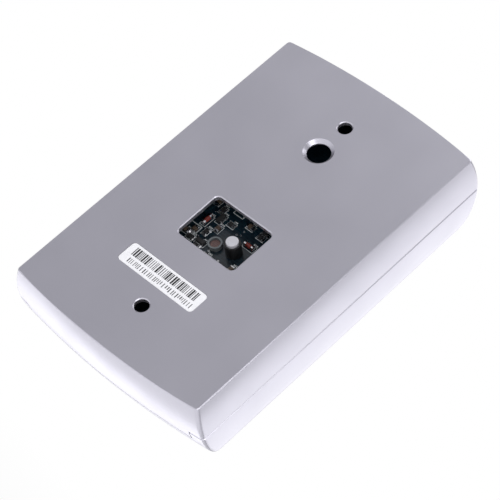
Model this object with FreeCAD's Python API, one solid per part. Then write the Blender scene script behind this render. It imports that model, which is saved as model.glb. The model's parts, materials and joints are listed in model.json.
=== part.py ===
import FreeCAD, Part
import math
import os

# Fingerprint scanner terminal for wall mounting.
# Millimetres.  X runs to the right as seen from the front, Z is up, and Y points at the wall.
# The origin is the centre of the flat back, so every "depth" below is measured from the wall
# towards the front, along -Y.

V = FreeCAD.Vector

# ---- Outline of the housing ------------------------------------------------------------------
plate_width = 70.0            # flat back, between its straight long edges
corner_half_height = 53.8     # from the middle of the back to a corner, along Z
end_sagitta = 2.3             # how far each bowed end edge stands beyond its corners
side_bulge = 1.35             # how far a long side swells beyond the back edge
side_widest_depth = 12.0
end_bulge = 1.38              # the same for the two ends
end_widest_depth = 9.0
body_depth = 34.0             # back face to the crown of the front
side_round_depth = 24.0       # depth where a long side starts to turn into the front
edge_round = 11.0             # radius from long side to front
end_round = 12.0              # radius from end to front
end_crown_relief = 0.1        # the end profile runs this much above the crown, so it never cuts it
corner_round = 1.2            # the four upright corners, from the back to where the sides turn in
crown_round = 12.0            # the crease between front and end, at the crown
crease_growth = 2.0           # power of the depth by which a crease widens towards the crown

# ---- Casting walls and the joint between the two shells ---------------------------------------
wall = 2.0
back_wall = 1.5
seam_depth = 12.0
seam_gap = 0.25
edge_break = 0.25             # on the back's own edge, on every opening in it and along the seam
tongue_half_width = 31.5      # the end walls of the back shell reach deeper between these lines
tongue_depth = 15.2
lip_gap = 0.2
lip_thickness = 1.2
lip_height = 3.0
lip_root_height = 4.0
seal_width = 0.9
seal_groove_offset = 0.6      # from the free edge of the lip to the seal
seal_groove_width = 1.2

# ---- Openings in the back ----------------------------------------------------------------------
wall_hole_spacing = 80.0
wall_hole_diameter = 4.3
cable_hole_diameter = 7.0
cable_hole_outer_diameter = 9.1
cable_hole_flare = 1.05
cable_hole_height = 29.15
window_width = 21.5
window_height = 16.3
window_center_height = -8.25
window_corner = 1.5
label_width = 28.7
label_height = 7.1
label_thickness = 0.12
label_corner = 1.2
label_gap = 0.1
label_center_x = 2.45
label_center_height = -29.85

# ---- Retaining screw and hooks between the shells ----------------------------------------------
cover_screw_diameter = 3.0
cover_screw_head_diameter = 5.5
cover_screw_head_height = 1.4
cover_screw_length = 7.0
cover_screw_depth = 5.8
cover_screw_socket = 1.3
cover_screw_socket_depth = 0.9
cover_screw_sink = 0.1        # of the head, below the end face
cover_screw_hole = 10.0
cover_lug_half_width = 5.0
cover_lug_margin = 3.0
cover_lug_thickness = 4.0
cover_lug_root = 4.0
screw_clearance = 0.1
hook_offset = 18.0
hook_width = 7.0
hook_thickness = 1.6
hook_reach = 2.2
hook_clearance = 0.3
hook_gap_height = 6.0

# ---- Finger recess and sensor window -----------------------------------------------------------
recess_width = 32.0
recess_height = 46.0
recess_corner = 15.0
recess_floor_depth = 30.2
recess_wall = 1.8
recess_center_height = -12.0
bezel_gap = 0.2
bezel_setback = 0.3
bezel_mouth_width = recess_width - 5.0
bezel_mouth_height = recess_height - 7.0
bezel_mouth_corner = recess_corner - 3.0
throat_corner = 1.0
throat_length = 0.8
glass_width = 16.0
glass_height = 20.0
glass_gap = 0.3
glass_opening = 2.0           # by which the opening in the recess is larger than the glass
glass_front_depth = recess_floor_depth + 0.7

# ---- Sensor module -----------------------------------------------------------------------------
module_half_width = glass_width / 2.0 + 3.0
module_half_height = glass_height / 2.0 + 12.0
module_wall = 2.6
module_roof = 1.2
module_board_space = 4.2      # between the front of the main board and the module's own board
module_front_depth = recess_floor_depth - recess_wall - 0.2
prism_back_depth = glass_front_depth - 10.4
prism_step = 2.9
prism_slope = 8.0
rail_width = 1.6
rail_height = 1.0
rail_end = 2.0                # above the middle of the recess
ear_half_width = 3.5
ear_reach = 6.2
ear_thickness = 2.0
ear_screw_offset = 25.3
ear_screw_length = 5.0
sensor_board_thickness = 1.2
sensor_board_gap = 0.5
sensor_board_corner = 1.0
imager_shift = -4.0           # of the image sensor, from the middle of the recess
imager_half = 3.5
imager_height = 1.2
barrel_radius = 4.2
barrel_bore = 2.55
barrel_gap = 1.5              # between the barrel and the prism
lens_radius = barrel_bore - 0.04
lens_thickness = 1.6
lens_curve = 4.0
lens_crown = 0.6
lens_lift = 0.8
light_rows = (13.0, 16.5)     # of the lamps beside the lens, above the middle of the recess
light_offset = 5.0
light_length = 3.2
light_width = 1.6
light_height = 1.2
sensor_chip_shift = 6.0
sensor_chip_half = 4.5
sensor_chip_height = 1.2
ribbon_half_width = 4.0
ribbon_thickness = 0.3
ribbon_bow = 0.35
ribbon_slack = ribbon_thickness / 2.0 + 0.04
ribbon_entry = 0.5            # depth of a socket's mouth past its middle
ribbon_inset = 0.3
socket_half_width = 5.5
socket_half_length = 1.8
socket_height = 1.8
sensor_socket_shift = -19.0
board_socket_shift = -28.0

# ---- Indicator window --------------------------------------------------------------------------
indicator_width = 24.0
indicator_height = 8.0
indicator_center_height = 35.5
indicator_gap = 0.15
indicator_setback = 0.25
indicator_flange = 1.6
indicator_flange_depth = 30.2
indicator_board_width = indicator_width + 15.0
indicator_board_height = 14.0
indicator_board_corner = 1.5
indicator_board_depth = indicator_flange_depth - 4.8
indicator_board_thickness = 1.2
indicator_boss_offset = indicator_width / 2.0 + 4.6
indicator_screw_length = 4.5
led_radius = 1.5
led_rim = 0.25
led_rim_height = 0.5
led_stem = 1.7
led_spacing = 5.0
led_first_x = -7.5
receiver_x = 8.0
receiver_half_width = 2.5
receiver_half_height = 2.6
receiver_height = 2.0
receiver_eye = 1.9
receiver_eye_depth = 1.4
link_drop = 4.5               # of the link pins, below the middle of the indicator
link_pitch = 2.54
link_pins = 5
link_half = 0.32
link_hole_half = 0.34
link_spacer_depth = 5.0       # from the main board
link_spacer_height = 2.5

# ---- Main board --------------------------------------------------------------------------------
board_width = plate_width - 10.0
board_height = 2.0 * corner_half_height - 13.6
board_corner = 3.0
board_depth = 8.5
board_thickness = 1.6
post_radius = 2.5
post_x = board_width / 2.0 - 4.0
post_z = board_height / 2.0 - 4.0
small_screw_radius = 0.95
small_screw_head_radius = 1.9
small_screw_head_height = 1.3
small_screw_length = 6.0
small_hole_spare = 1.0        # depth of a tapped hole beyond the end of its screw
thread_clearance = 0.05
slot_half_width = 0.25
slot_half_length = 1.2
slot_cut = 0.7
header_z = 15.0
header_pins = 9
header_pitch = 2.0
header_height = 5.4
header_half_width = 2.6
header_wall = 0.7
header_floor = 1.4
header_end = 1.2
header_pin_half = 0.25
header_pin_tip = 4.6
buzzer_x = 21.0
buzzer_z = 22.0
buzzer_radius = 6.0
buzzer_height = 8.5
buzzer_port = 1.1
buzzer_port_depth = 1.5
can_x = 21.0
cans = ((8.0, 4.0, 11.5), (-3.5, 3.15, 11.0))     # height on the board, radius and length
can_groove_foot = 1.5
can_groove_width = 0.7
can_groove_cut = 0.35
coil_block_x = 21.0
coil_block_z = -15.5
coil_block_width = 10.0
coil_block_corner = 2.4
coil_block_height = 5.0
coil_block_ring = (3.9, 3.3)
coil_block_cut = 0.6
regulator_place = (18.5, 23.5, -29.0, -25.1)
regulator_height = 1.6
processor_x = -19.5
processor_z = -29.0
processor_width = 12.0
processor_corner = 0.4
processor_height = 1.4
processor_mark_inset = 1.2
processor_mark_radius = 0.5
processor_mark_cut = 0.2
memory_place = (-22.0, -17.0, -20.6, -12.6)
memory_height = 1.6
crystal_place = (-16.5, -40.6)
crystal_size = (4.6, 10.6, 2.2, 3.4)
small_part_length = 2.0
small_part_width = 1.25
capacitor_height = 0.9
resistor_height = 0.55
transistor_size = (2.9, 1.3, 1.0)
diode_radius = 0.7
diode_length = 3.4

# ---- Tamper plunger and light cell behind the window -------------------------------------------
tamper_x = -1.7
tamper_z = -7.6
plunger_radius = 1.85
plunger_edge_round = 0.3
plunger_front_depth = 3.0
plunger_proud = 0.95
plunger_travel = 0.8
running_gap = 0.06
tamper_sleeve_radius = plunger_radius + 0.55
tamper_rim = 0.65
plunger_flange_radius = plunger_radius + 0.2
plunger_flange = 0.6
plunger_pin_radius = 0.7
plunger_stop_gap = 0.05
contact_thickness = 0.2
contact_disc_radius = 1.0
spring_gap = 0.02
spring_wire = 0.3
spring_turns = 3.5
light_cell_x = 4.0
light_cell_z = -9.15
light_sleeve_radius = 2.1
light_sleeve_bore = 1.6
light_sleeve_height = 1.5
light_cell_gap = 0.06
light_cell_thickness = 0.5
light_cell_height = 0.3
light_leg_offset = 0.8
light_leg_radius = 0.2

# ---- Relay ---------------------------------------------------------------------------------------
relay_x = -21.5
relay_z = 0.0
relay_width = 15.4
relay_length = 19.0
relay_height = 15.3
relay_case_wall = 0.8
relay_gap = 0.15
relay_base_thickness = 1.2
coil_shift_x = -1.0
coil_shift_z = -2.0
coil_radius = 4.8
core_radius = 1.55
bobbin_flange = 0.8
yoke_thickness = 1.0
yoke_half_width = 4.0
yoke_lift = 0.1
yoke_foot_reach = 3.0         # of the foot, past the middle of the coil
coil_gap = 0.7
core_proud = 0.5
tube_wall = 0.5
bobbin_bore_gap = 0.05
bobbin_rim = 0.4
armature_room = 2.85          # between the armature and the roof of the case
armature_inset = 0.3
armature_overhang = 0.2
armature_gap = 0.55
armature_thickness = 1.0
armature_lift = 0.35
armature_length = 13.0
armature_swing = 3.0
leaf_half_width = 1.2
leaf_thickness = 0.3
leaf_end = 1.2
leaf_free = 2.5
leaf_root = 0.1
contact_radius = 0.8
contact_height = 0.4
contact_gap = 0.15
contact_over_gap = 0.1
contact_post = 0.5
contact_post_width = 1.6
contact_arm = 0.4
contact_arm_end = 0.6
contact_arm_width = 2.5
high_arm_width = 3.8
contact_low_offset = -1.5     # of the two posts' outer sides, from the middle of the coil
contact_high_offset = 3.0
relay_pin_places = ((-5.5, -7.5), (5.5, -7.5), (-5.5, 7.0), (5.5, 7.0), (0.0, 8.0))
relay_pin_radius = 0.6
relay_pin_depth = 0.8

# ---- Helper lengths --------------------------------------------------------------------------------
depth_far = 60.0
over = 1.0                    # how far a cutter runs past the face that it cuts
past_end = 5.0                # how far a rough shape runs past an end before it is trimmed
end_zone = 12.0
near_round = 0.01             # keeps a short straight between two end arcs

board_front = board_depth + board_thickness
half_height = corner_half_height + end_sagitta
span_far = half_height + 2.0 * past_end
module_back_depth = board_front + module_board_space
sensor_board_back = module_back_depth - sensor_board_thickness
ribbon_depth = (board_front + sensor_board_back) / 2.0 + 0.5
imager_z = recess_center_height + imager_shift
sensor_socket_z = recess_center_height + sensor_socket_shift
board_socket_z = recess_center_height + board_socket_shift
link_z = indicator_center_height - link_drop


# ---- Small helpers -------------------------------------------------------------------------------
def save(name, shape):
    shape.exportStep("parts/" + name + ".step")


def block(x0, x1, depth0, depth1, z0, z1):
    """Box between two X, two depth and two Z values."""
    return Part.makeBox(x1 - x0, depth1 - depth0, z1 - z0, V(x0, -depth1, z0))


def slab(depth0, depth1):
    return block(-span_far, span_far, depth0, depth1, -span_far, span_far)


def peg(x, z, depth0, depth1, radius):
    """Cylinder along the depth."""
    return Part.makeCylinder(radius, depth1 - depth0, V(x, -depth1, z), V(0, 1, 0))


def taper(x, z, depth0, depth1, radius0, radius1):
    """Cone along the depth, with radius0 at depth0 and radius1 at depth1."""
    return Part.makeCone(radius1, radius0, depth1 - depth0, V(x, -depth1, z), V(0, 1, 0))


def ring(x, z, depth0, depth1, outer, inner):
    return peg(x, z, depth0, depth1, outer).cut(peg(x, z, depth0 - 1, depth1 + 1, inner))


def rounded_outline(x, z, width, height, corner, depth):
    """Closed wire of a rounded rectangle in a plane of constant depth."""
    w = width / 2.0
    h = height / 2.0
    k = corner * (1.0 - math.sqrt(0.5))
    y = -depth
    edges = []
    for sx, sz in ((1, 1), (-1, 1), (-1, -1), (1, -1)):
        on_side = V(x + sx * w, y, z + sz * (h - corner))
        on_end = V(x + sx * (w - corner), y, z + sz * h)
        middle = V(x + sx * (w - k), y, z + sz * (h - k))
        start, end = (on_side, on_end) if sx * sz > 0 else (on_end, on_side)
        edges.append((start, middle, end))
    wire = []
    for index, (start, middle, end) in enumerate(edges):
        wire.append(Part.Arc(start, middle, end).toShape())
        following = edges[(index + 1) % 4][0]
        if end.distanceToPoint(following) > 1e-6:
            wire.append(Part.makeLine(end, following))
    return Part.Wire(wire)


def plate(x, z, width, height, corner, depth0, depth1):
    """Rounded rectangle between two depths."""
    outline = rounded_outline(x, z, width, height, corner, depth1)
    return Part.Face(outline).extrude(V(0, depth1 - depth0, 0))


def section(points, x0, x1):
    """Straight-sided outline of (z, depth) points, extruded from x0 to x1."""
    corners = [V(x0, -depth, z) for z, depth in points]
    face = Part.Face(Part.makePolygon(corners + corners[:1]))
    return face.extrude(V(x1 - x0, 0, 0))


def unite(shapes):
    body = shapes[0]
    for shape in shapes[1:]:
        body = body.fuse(shape)
    return body.removeSplitter()


def remove(body, cutters):
    for cutter in cutters:
        body = body.cut(cutter)
    return body


def group(shapes):
    return Part.makeCompound(shapes)


# ---- Outer form ----------------------------------------------------------------------------------
def bulge_radius(bulge, widest_depth):
    """Radius of the arc that leaves the back edge and stands out by bulge at widest_depth."""
    return (widest_depth ** 2 + bulge ** 2) / (2.0 * bulge)


def end_height(depth):
    """Height of the upper end surface in the middle, at a depth short of the front rounding."""
    radius = bulge_radius(end_bulge, end_widest_depth)
    return half_height + end_bulge - radius + math.sqrt(radius ** 2 - (depth - end_widest_depth) ** 2)


def across_profile(inset):
    """Section across the body: flat back, swelling sides, rounded edges, arched front."""
    radius = bulge_radius(side_bulge, side_widest_depth)
    cx = plate_width / 2.0 + side_bulge - radius
    cy = -side_widest_depth
    turn = math.asin((side_round_depth - side_widest_depth) / radius)
    rx = cx + (radius - edge_round) * math.cos(turn)
    ry = cy - (radius - edge_round) * math.sin(turn)
    drop = body_depth + ry
    front = (rx ** 2 + drop ** 2 - edge_round ** 2) / (2.0 * (drop - edge_round))
    fy = front - body_depth
    lean = math.atan2(rx, fy - ry)

    def on_side(angle, sign):
        reach = radius - inset
        return V(sign * (cx + reach * math.cos(angle)), cy - reach * math.sin(angle), 0)

    def on_edge(angle, sign):
        reach = edge_round - inset
        return V(sign * (rx + reach * math.cos(angle)), ry - reach * math.sin(angle), 0)

    start = -math.asin(side_widest_depth / (radius - inset))
    finish = math.pi / 2.0 - lean
    halves = {}
    for sign in (1, -1):
        side = Part.Arc(on_side(start, sign), on_side((start + turn) / 2.0, sign), on_side(turn, sign))
        edge = Part.Arc(on_edge(turn, sign), on_edge((turn + finish) / 2.0, sign), on_edge(finish, sign))
        halves[sign] = (side.toShape(), edge.toShape())
    crown = Part.Arc(on_edge(finish, 1), V(0, fy - front + inset, 0), on_edge(finish, -1)).toShape()
    back = Part.makeLine(on_side(start, -1), on_side(start, 1))
    return Part.Wire([halves[1][0], halves[1][1], crown, halves[-1][1], halves[-1][0], back])


def end_form(inset):
    """Everything above the lower end: the end's section, turned about a distant upright line."""
    radius = bulge_radius(end_bulge, end_widest_depth)
    cz = -(half_height + end_bulge - radius)
    flat_depth = body_depth + end_crown_relief
    sink = flat_depth - end_round - end_widest_depth
    turn = math.asin(sink / (radius - end_round))
    rz = cz - (radius - end_round) * math.cos(turn)
    ry = -(flat_depth - end_round)

    def on_end(angle):
        reach = radius - inset
        return V(0, -end_widest_depth - reach * math.sin(angle), cz - reach * math.cos(angle))

    def on_edge(angle):
        reach = end_round - inset
        return V(0, ry - reach * math.sin(angle), rz - reach * math.cos(angle))

    start = -math.asin(end_widest_depth / (radius - inset))
    quarter = math.pi / 2.0
    far_back = V(0, 0, span_far)
    far_front = V(0, inset - flat_depth, span_far)
    outline = [
        Part.makeLine(far_back, on_end(start)),
        Part.Arc(on_end(start), on_end((start + turn) / 2.0), on_end(turn)).toShape(),
        Part.Arc(on_edge(turn), on_edge((turn + quarter) / 2.0), on_edge(quarter)).toShape(),
        Part.makeLine(on_edge(quarter), far_front),
        Part.makeLine(far_front, far_back),
    ]
    plan_radius = ((plate_width / 2.0) ** 2 + end_sagitta ** 2) / (2.0 * end_sagitta)
    axis = V(0, 0, plan_radius - half_height)
    sweep = math.degrees(math.asin(0.75 * plate_width / (axis.z - span_far)))
    face = Part.Face(Part.Wire(outline))
    face.rotate(axis, V(0, 1, 0), -sweep)
    return face.revolve(axis, V(0, 1, 0), 2.0 * sweep)


def body_form(inset):
    """The housing's full form, set in by inset everywhere but at the flat back."""
    across = Part.Face(across_profile(inset)).extrude(V(0, 0, 2.0 * span_far))
    across.translate(V(0, 0, -span_far))
    lower = end_form(inset)
    upper = lower.mirror(V(0, 0, 0), V(0, 0, 1))
    return across.common(lower).common(upper)


def corner_radius(point):
    """Rounding at a vertex of a corner edge: small up to the shoulder, wide at the crown."""
    share = max(0.0, (-point.y - side_round_depth) / (body_depth - side_round_depth))
    return corner_round + (crown_round - corner_round) * share ** crease_growth


def eased(form):
    """Round the edges that run from each back corner up and across the front."""
    document = FreeCAD.newDocument("easing")
    base = document.addObject("Part::Feature", "base")
    base.Shape = form
    rounding = document.addObject("Part::Fillet", "rounding")
    rounding.Base = base
    rounding.Edges = [
        (index + 1, corner_radius(edge.valueAt(edge.FirstParameter)),
         corner_radius(edge.valueAt(edge.LastParameter)))
        for index, edge in enumerate(form.Edges) if edge.BoundBox.YLength > 0.05]
    document.recompute()
    shape = rounding.Shape.Solids[0]
    FreeCAD.closeDocument(document.Name)
    return shape


outer_form = eased(body_form(0.0))
cavity_form = body_form(wall)
lip_outer_form = body_form(wall + lip_gap)
lip_inner_form = body_form(wall + lip_gap + lip_thickness)
seal_inner_form = body_form(wall + seal_width)


def broken(form, depth, size):
    """The form with the outline that it shows at one depth broken at 45 degrees."""
    outline = [edge for edge in form.Edges
               if edge.BoundBox.YLength < 0.001 and abs(edge.BoundBox.YMax + depth) < 0.001]
    return form.makeChamfer(size, outline)


def tongue_zone(growth):
    """The middle of both end walls, where the back shell reaches past the seam."""
    half = tongue_half_width + growth
    depth = tongue_depth + growth
    zone = block(-half, half, seam_depth - over, depth, half_height - end_zone, half_height + end_zone)
    return zone.fuse(zone.mirror(V(0, 0, 0), V(0, 0, 1)))


# ---- Back shell ----------------------------------------------------------------------------------
def hook_ribs():
    """Two ribs inside the lower end wall that the front cover hooks under."""
    ribs = []
    depth0 = seam_depth - lip_height - hook_clearance
    for side in (-1, 1):
        x = side * hook_offset
        rib = block(x - hook_width / 2, x + hook_width / 2, depth0, depth0 + hook_thickness,
                    -half_height - past_end, -half_height + wall + hook_reach)
        ribs.append(rib.common(body_form(wall / 2.0)))
    return ribs


def screw_seat():
    """Countersunk hole for the retaining screw, through the upper end wall."""
    top = end_height(cover_screw_depth)
    shank = cover_screw_diameter / 2.0 + screw_clearance
    head = cover_screw_head_diameter / 2.0 + screw_clearance
    base = V(0, -cover_screw_depth, top - cover_screw_head_height)
    start = V(0, -cover_screw_depth, top - cover_screw_hole)
    hole = Part.makeCylinder(shank, cover_screw_hole + over, start, V(0, 0, 1))
    return [hole, Part.makeCone(shank, head, cover_screw_head_height, base, V(0, 0, 1)),
            Part.makeCylinder(head, 2.0 * over, V(0, -cover_screw_depth, top), V(0, 0, 1))]


def make_back_shell():
    tray = broken(outer_form.common(slab(0.0, seam_depth)), 0.0, edge_break)
    tray = broken(tray, seam_depth, edge_break)
    tray = tray.fuse(outer_form.common(tongue_zone(0.0)))
    shell = tray.cut(cavity_form.common(slab(back_wall, depth_far)))
    shell = unite([shell] + hook_ribs())
    window = plate(0, window_center_height, window_width, window_height, window_corner, -over,
                   back_wall + over)
    cable = peg(0, cable_hole_height, -over, back_wall + over, cable_hole_diameter / 2.0)
    slope = (cable_hole_outer_diameter - cable_hole_diameter) / 2.0 / cable_hole_flare
    flare = taper(0, cable_hole_height, -over, cable_hole_flare,
                  cable_hole_outer_diameter / 2.0 + over * slope, cable_hole_diameter / 2.0)
    pocket = plate(label_center_x, label_center_height, label_width, label_height, label_corner,
                   -over, label_thickness)
    cutters = [window, cable, flare, pocket]
    for side in (-1, 1):
        z = side * wall_hole_spacing / 2.0
        r = wall_hole_diameter / 2.0
        cutters.append(peg(0, z, -over, back_wall + over, r))
        cutters.append(taper(0, z, -over, edge_break, r + edge_break + over, r))
    shell = remove(shell, cutters + screw_seat())
    rim = [edge for edge in shell.Edges
           if edge.BoundBox.YMin > -0.01
           and abs(edge.BoundBox.Center.x) < window_width / 2.0 + 0.1
           and edge.BoundBox.ZMin > window_center_height - window_height / 2.0 - 0.1
           and edge.BoundBox.ZMax < window_center_height + window_height / 2.0 + 0.1]
    return shell.makeChamfer(edge_break, rim)


# ---- Front cover ---------------------------------------------------------------------------------
def cover_lip():
    """Rim that enters the back shell, with gaps at the two hooks."""
    top = seam_depth - lip_height
    lip = lip_outer_form.cut(lip_inner_form).common(slab(top, seam_depth + seam_gap + over))
    root_top = seam_depth + seam_gap
    root = cavity_form.cut(lip_inner_form).common(slab(root_top, root_top + lip_root_height))
    gaps = []
    for side in (-1, 1):
        x = side * hook_offset
        half = hook_width / 2.0 + hook_clearance
        gaps.append(block(x - half, x + half, top - over, root_top,
                          -half_height - past_end, -half_height + hook_gap_height))
    return remove(lip.fuse(root), gaps)


def seal_groove():
    top = seam_depth - lip_height + seal_groove_offset
    return slab(top, top + seal_groove_width).cut(seal_inner_form)


def cover_hooks():
    """Two hooks on the cover that catch behind the ribs of the back shell."""
    hooks = []
    rib_depth = seam_depth - lip_height - hook_clearance
    leg = -half_height + wall + hook_reach + hook_clearance
    for side in (-1, 1):
        x = side * hook_offset
        half = hook_width / 2.0 - hook_clearance
        foot = rib_depth - hook_clearance
        outline = [(leg, seam_depth + seam_gap + lip_root_height), (leg, foot), (leg - hook_reach, foot),
                   (leg - hook_reach, foot - hook_thickness), (leg + hook_thickness, foot - hook_thickness),
                   (leg + hook_thickness, seam_depth + seam_gap + lip_root_height)]
        hook = section(outline, x - half, x + half)
        bridge = block(x - half, x + half, seam_depth + seam_gap + over,
                       seam_depth + seam_gap + lip_root_height, -half_height - past_end, leg + hook_thickness)
        hooks.append(hook.fuse(bridge.common(lip_outer_form)))
    return hooks


def cover_lug():
    """Lug that the retaining screw is driven into."""
    low = half_height - wall - lip_gap - lip_thickness - cover_lug_thickness
    lug = block(-cover_lug_half_width, cover_lug_half_width, cover_screw_depth - cover_lug_margin,
                seam_depth + lip_root_height + cover_lug_root, low, half_height + past_end)
    return lug.common(lip_outer_form)


def cover_posts():
    """Posts under the front for the main board, the sensor module and the indicator board."""
    inside = body_form(wall / 2.0)
    posts = [peg(sx * post_x, sz * post_z, board_front, depth_far, post_radius)
             for sx in (-1, 1) for sz in (-1, 1)]
    for side in (-1, 1):
        z = recess_center_height + side * ear_screw_offset
        posts.append(peg(0, z, module_front_depth, depth_far, post_radius))
        posts.append(peg(side * indicator_boss_offset, indicator_center_height,
                         indicator_board_depth + indicator_board_thickness, depth_far, post_radius))
    return [post.common(inside) for post in posts]


def post_holes():
    radius = small_screw_radius + thread_clearance
    deep = small_screw_length + small_hole_spare
    ear_deep = ear_screw_length - ear_thickness + small_hole_spare
    boss_deep = indicator_screw_length + small_hole_spare
    holes = [peg(sx * post_x, sz * post_z, board_front - over, board_front + deep, radius)
             for sx in (-1, 1) for sz in (-1, 1)]
    for side in (-1, 1):
        z = recess_center_height + side * ear_screw_offset
        holes.append(peg(0, z, module_front_depth - over, module_front_depth + ear_deep, radius))
        holes.append(peg(side * indicator_boss_offset, indicator_center_height, indicator_board_depth,
                         indicator_board_depth + boss_deep, radius))
    return holes


def make_front_cover():
    rim_depth = seam_depth + seam_gap
    hood = broken(outer_form.common(slab(rim_depth, depth_far)), rim_depth, edge_break)
    walls = hood.cut(cavity_form).cut(tongue_zone(seam_gap))
    cup = plate(0, recess_center_height, recess_width + 2 * recess_wall, recess_height + 2 * recess_wall,
                recess_corner + recess_wall, recess_floor_depth - recess_wall, depth_far)
    pieces = [walls, cover_lip(), cup.common(body_form(wall / 2.0)), cover_lug()]
    shell = unite(pieces + cover_hooks() + cover_posts())
    pocket = plate(0, recess_center_height, recess_width, recess_height, recess_corner,
                   recess_floor_depth, depth_far)
    opening = plate(0, recess_center_height, glass_width + glass_opening, glass_height + glass_opening,
                    throat_corner, module_front_depth - over, recess_floor_depth + over)
    slot = plate(0, indicator_center_height, indicator_width, indicator_height,
                 indicator_height / 2.0 - near_round, indicator_flange_depth, depth_far)
    tapped = Part.makeCylinder(cover_screw_diameter / 2.0 + thread_clearance, cover_screw_hole + past_end,
                               V(0, -cover_screw_depth, half_height - cover_screw_hole), V(0, 0, 1))
    return remove(shell, [pocket, opening, slot, tapped, seal_groove()] + post_holes())


def make_cover_seal():
    top = seam_depth - lip_height + seal_groove_offset
    band = slab(top, top + seal_groove_width)
    gaps = []
    for side in (-1, 1):
        x = side * hook_offset
        half = hook_width / 2.0 + hook_clearance
        gaps.append(block(x - half, x + half, 0.0, seam_depth,
                          -half_height - past_end, -half_height + hook_gap_height))
    return remove(cavity_form.cut(seal_inner_form).common(band), gaps)


def make_cover_screw():
    top = end_height(cover_screw_depth) - cover_screw_sink
    radius = cover_screw_diameter / 2.0
    neck = top - cover_screw_head_height
    head = Part.makeCone(radius, cover_screw_head_diameter / 2.0, cover_screw_head_height,
                         V(0, -cover_screw_depth, neck), V(0, 0, 1))
    tip = V(0, -cover_screw_depth, neck - cover_screw_length)
    shank = Part.makeCylinder(radius, cover_screw_length, tip, V(0, 0, 1))
    socket = []
    for step in range(6):
        angle = math.radians(60 * step)
        socket.append(V(cover_screw_socket * math.cos(angle),
                        -cover_screw_depth + cover_screw_socket * math.sin(angle),
                        top - cover_screw_socket_depth))
    hexagon = Part.Face(Part.makePolygon(socket + socket[:1])).extrude(V(0, 0, 2.0 * over))
    return head.fuse(shank).removeSplitter().cut(hexagon)


def make_serial_label():
    return plate(label_center_x, label_center_height, label_width - label_gap, label_height - label_gap,
                 label_corner, 0.0, label_thickness)


# ---- Finger recess -------------------------------------------------------------------------------
def make_sensor_bezel():
    frame = plate(0, recess_center_height, recess_width - 2 * bezel_gap, recess_height - 2 * bezel_gap,
                  recess_corner - bezel_gap, recess_floor_depth, depth_far)
    frame = frame.common(body_form(bezel_setback))
    throat_depth = recess_floor_depth + throat_length
    throat = rounded_outline(0, recess_center_height, glass_width + 2 * glass_gap,
                             glass_height + 2 * glass_gap, throat_corner, throat_depth)
    mouth = rounded_outline(0, recess_center_height, bezel_mouth_width, bezel_mouth_height,
                            bezel_mouth_corner, body_depth + over)
    funnel = Part.makeLoft([throat, mouth], True, True)
    hole = plate(0, recess_center_height, glass_width + 2 * glass_gap, glass_height + 2 * glass_gap,
                 throat_corner, recess_floor_depth - over, throat_depth + near_round)
    return remove(frame, [funnel, hole])


def make_sensor_prism():
    z = recess_center_height
    h = glass_height / 2.0
    outline = [(z - h, glass_front_depth), (z + h, glass_front_depth),
               (z + h, glass_front_depth - prism_step), (z + h - prism_slope, prism_back_depth), (z - h, prism_back_depth)]
    return section(outline, -glass_width / 2.0, glass_width / 2.0)


def make_sensor_housing():
    z = recess_center_height
    half_x = module_half_width
    half_z = module_half_height
    inner_x = half_x - module_wall
    inner_z = half_z - module_wall
    box = block(-half_x, half_x, module_back_depth, module_front_depth, z - half_z, z + half_z)
    ears = block(-ear_half_width, ear_half_width, module_front_depth - ear_thickness, module_front_depth,
                 z - half_z - ear_reach, z + half_z + ear_reach)
    chamber = block(-inner_x, inner_x, module_back_depth - over, module_front_depth - module_roof,
                    z - inner_z, z + inner_z)
    mouth = block(-inner_x, inner_x, prism_back_depth, module_front_depth + over,
                  z - glass_height / 2.0 - glass_gap, z + glass_height / 2.0 + glass_gap)
    body = unite([box, ears]).cut(chamber).cut(mouth)
    rails = []
    for side in (-1, 1):
        x0, x1 = sorted((side * (inner_x - rail_width), side * inner_x))
        rails.append(block(x0, x1, prism_back_depth - rail_height, prism_back_depth,
                           z - inner_z, z + rail_end))
    body = unite([body] + rails)
    holes = [peg(0, z + side * ear_screw_offset, module_front_depth - ear_thickness - over,
                 module_front_depth + over, small_screw_radius + screw_clearance) for side in (-1, 1)]
    return remove(body, holes)


def pan_screw(x, z, seat_depth, length):
    """Pan-head screw driven towards the front, with its head behind seat_depth."""
    head = peg(x, z, seat_depth - small_screw_head_height, seat_depth, small_screw_head_radius)
    shank = peg(x, z, seat_depth, seat_depth + length, small_screw_radius)
    top = seat_depth - small_screw_head_height
    slots = []
    for wide, tall in ((slot_half_length, slot_half_width), (slot_half_width, slot_half_length)):
        slots.append(block(x - wide, x + wide, top - over, top + slot_cut, z - tall, z + tall))
    return remove(head.fuse(shank).removeSplitter(), slots)


def make_sensor_screws():
    seat = module_front_depth - ear_thickness
    return group([pan_screw(0, recess_center_height + side * ear_screw_offset, seat, ear_screw_length)
                  for side in (-1, 1)])


def make_sensor_board():
    return plate(0, recess_center_height, 2 * (module_half_width - sensor_board_gap),
                 2 * (module_half_height - sensor_board_gap), sensor_board_corner, sensor_board_back,
                 module_back_depth)


def make_image_sensor():
    return block(-imager_half, imager_half, module_back_depth, module_back_depth + imager_height,
                 imager_z - imager_half, imager_z + imager_half)


def make_lens_barrel():
    near = module_back_depth + imager_height
    return ring(0, imager_z, near, prism_back_depth - barrel_gap, barrel_radius, barrel_bore)


def make_sensor_lens():
    near = module_back_depth + imager_height + lens_lift
    disc = peg(0, imager_z, near, near + lens_thickness, lens_radius)
    dome = Part.makeSphere(lens_curve, V(0, lens_curve - near - lens_thickness - lens_crown, imager_z))
    return disc.common(dome)


def make_sensor_leds():
    leds = []
    for side in (-1, 1):
        x = side * light_offset
        for row in light_rows:
            z = recess_center_height + row
            leds.append(block(x - light_length / 2.0, x + light_length / 2.0, module_back_depth,
                              module_back_depth + light_height, z - light_width / 2.0, z + light_width / 2.0))
    return group(leds)


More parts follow.
